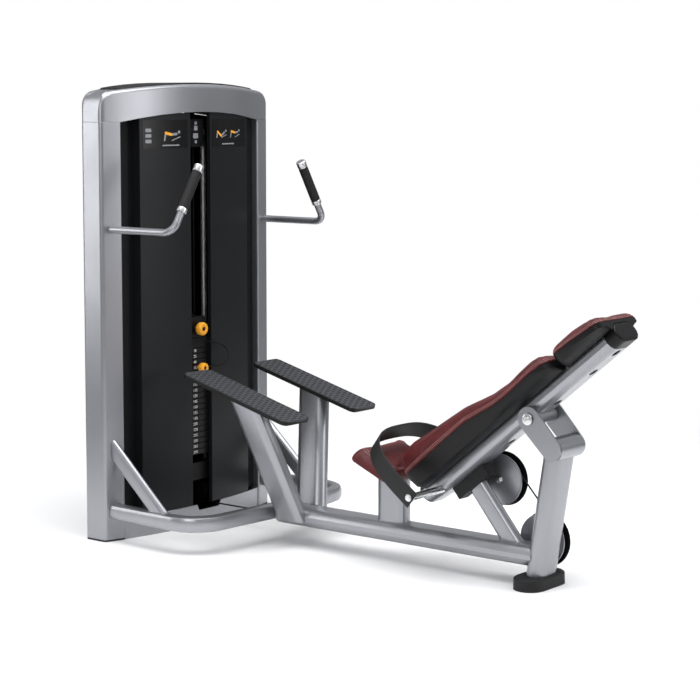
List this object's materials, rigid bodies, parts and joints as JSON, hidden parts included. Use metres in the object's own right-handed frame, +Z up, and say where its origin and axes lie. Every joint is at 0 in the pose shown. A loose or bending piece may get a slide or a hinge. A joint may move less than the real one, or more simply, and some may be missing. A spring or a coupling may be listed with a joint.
{
  "type": "glute bridge machine",
  "caption": "Selectorised glute bridge machine with weight tower, foot planks, seat, hinged padded bench, hip belt and cable drive.",
  "frame": {"origin": "on the floor, under the middle of the machine's length and width", "axes": "+X from the weight tower to the head end of the bench, +Y to the side the cable runs on, +Z up"},
  "size_m": [2.184, 0.9472, 1.75],
  "materials": {
    "silver_paint": "silver metallic powder coat",
    "charcoal_paint": "charcoal fine-texture powder coat",
    "black_plastic": "moulded black",
    "black_rubber": "matt",
    "red_vinyl": "grained burgundy upholstery vinyl",
    "bright_steel": "polished",
    "black_steel": "black satin",
    "plate_steel": "black painted",
    "orange_plastic": "satin",
    "black_webbing": "woven",
    "cable_jacket": "nylon jacket over steel rope"
  },
  "bodies": {
    "frame": {"column_left": "silver_paint", "column_right": "silver_paint", "top_cap": "silver_paint", "base_pan": "silver_paint", "bow_tube": "silver_paint", "base_tube": "silver_paint", "brace_left": "silver_paint", "brace_right": "silver_paint", "handle_left": "silver_paint", "handle_right": "silver_paint", "seat_post": "silver_paint", "rear_upright": "silver_paint", "rear_strut": "silver_paint", "plank_strut_left": "silver_paint", "plank_strut_right": "silver_paint", "front_shroud_left": "charcoal_paint", "front_shroud_right": "charcoal_paint", "rear_shroud": "charcoal_paint", "top_cover": "black_plastic", "base_sheave_guard": "black_plastic", "column_pad_left": "black_rubber", "column_pad_right": "black_rubber", "rear_boot": "black_rubber", "grip_left": "black_rubber", "grip_right": "black_rubber", "stop_bumper": "black_rubber", "foot_plank_left": "black_rubber", "foot_plank_right": "black_rubber", "seat_pad": "red_vinyl", "guide_rod_left": "bright_steel", "guide_rod_right": "bright_steel", "pivot_shaft": "bright_steel", "stack_cradle": "black_steel", "top_crossbar": "black_steel", "resting_plates": "plate_steel", "cable_lift_loop": "cable_jacket", "cable_frame_run": "cable_jacket", "cable_arm_loop": "cable_jacket"},
    "stack": {"head_plate": "plate_steel", "head_housing": "black_steel", "selector_stem": "bright_steel", "lifted_plates": "plate_steel", "pin_lanyard": "cable_jacket"},
    "head_sheave": {"head_pulley": "black_plastic"},
    "dial": {"increment_knob": "orange_plastic"},
    "pin": {"selector_pin": "orange_plastic"},
    "top_sheave": {"top_pulley": "black_plastic"},
    "foot_sheave": {"foot_pulley": "black_plastic"},
    "base_wheel": {"base_sheave": "black_plastic"},
    "bench": {"bench_beam": "silver_paint", "beam_cap": "black_plastic", "beam_plug": "black_plastic", "back_shell": "black_plastic", "back_pad": "red_vinyl", "head_shell": "black_plastic", "headrest": "red_vinyl", "belt_rod": "bright_steel", "arm_sheave_guard": "black_plastic"},
    "belt": {"hip_belt": "black_webbing"},
    "arm_wheel": {"arm_sheave": "black_plastic"}
  },
  "joints": [
    {"name": "bench_swing", "type": "hinge", "parent": "frame", "child": "bench", "pos_m": [0.73555, 0, 0.597], "axis": [0, 1, 0], "range_deg": [0, 36], "deforming": ["cable_arm_loop"]},
    {"name": "arm_sheave_spin", "type": "hinge", "parent": "bench", "child": "arm_wheel", "pos_m": [0.52157, 0.0835, 0.33952], "axis": [0, 1, 0], "continuous": true},
    {"name": "base_sheave_spin", "type": "hinge", "parent": "frame", "child": "base_wheel", "pos_m": [0.70115, 0.0835, 0.145], "axis": [0, 1, 0], "continuous": true},
    {"name": "foot_sheave_spin", "type": "hinge", "parent": "frame", "child": "foot_sheave", "pos_m": [-0.96815, 0.0835, 0.1173], "axis": [0, 1, 0], "continuous": true},
    {"name": "top_sheave_spin", "type": "hinge", "parent": "frame", "child": "top_sheave", "pos_m": [-0.97447, 0.0605, 1.6553], "axis": [-0.5077, -0.8615, 0], "continuous": true},
    {"name": "stack_lift", "type": "slide", "parent": "frame", "child": "stack", "axis": [0, 0, 1], "range_m": [0, 0.2062], "deforming": ["cable_lift_loop"]},
    {"name": "head_sheave_spin", "type": "hinge", "parent": "stack", "child": "head_sheave", "pos_m": [-0.93545, 0, 0.7973], "axis": [1, 0, 0], "continuous": true},
    {"name": "selector_pin_pull", "type": "slide", "parent": "stack", "child": "pin", "axis": [1, 0, 0], "range_m": [0, 0.065]},
    {"name": "increment_dial", "type": "hinge", "parent": "stack", "child": "dial", "pos_m": [-0.88345, 0, 0.7832], "axis": [1, 0, 0], "range_deg": [0, 150]},
    {"name": "belt_swing", "type": "hinge", "parent": "bench", "child": "belt", "pos_m": [0.35102, 0, 0.30095], "axis": [0, 1, 0], "range_deg": [0, 48]}
  ],
  "couplings": [
    {"joint": "stack_lift", "follows": "bench_swing", "m_per_rad": 0.32777},
    {"joint": "arm_sheave_spin", "follows": "bench_swing", "ratio": -5.511},
    {"joint": "base_sheave_spin", "follows": "bench_swing", "ratio": -8.9801},
    {"joint": "foot_sheave_spin", "follows": "bench_swing", "ratio": -14.471},
    {"joint": "top_sheave_spin", "follows": "bench_swing", "ratio": 14.471},
    {"joint": "head_sheave_spin", "follows": "bench_swing", "ratio": 8.7407}
  ]
}
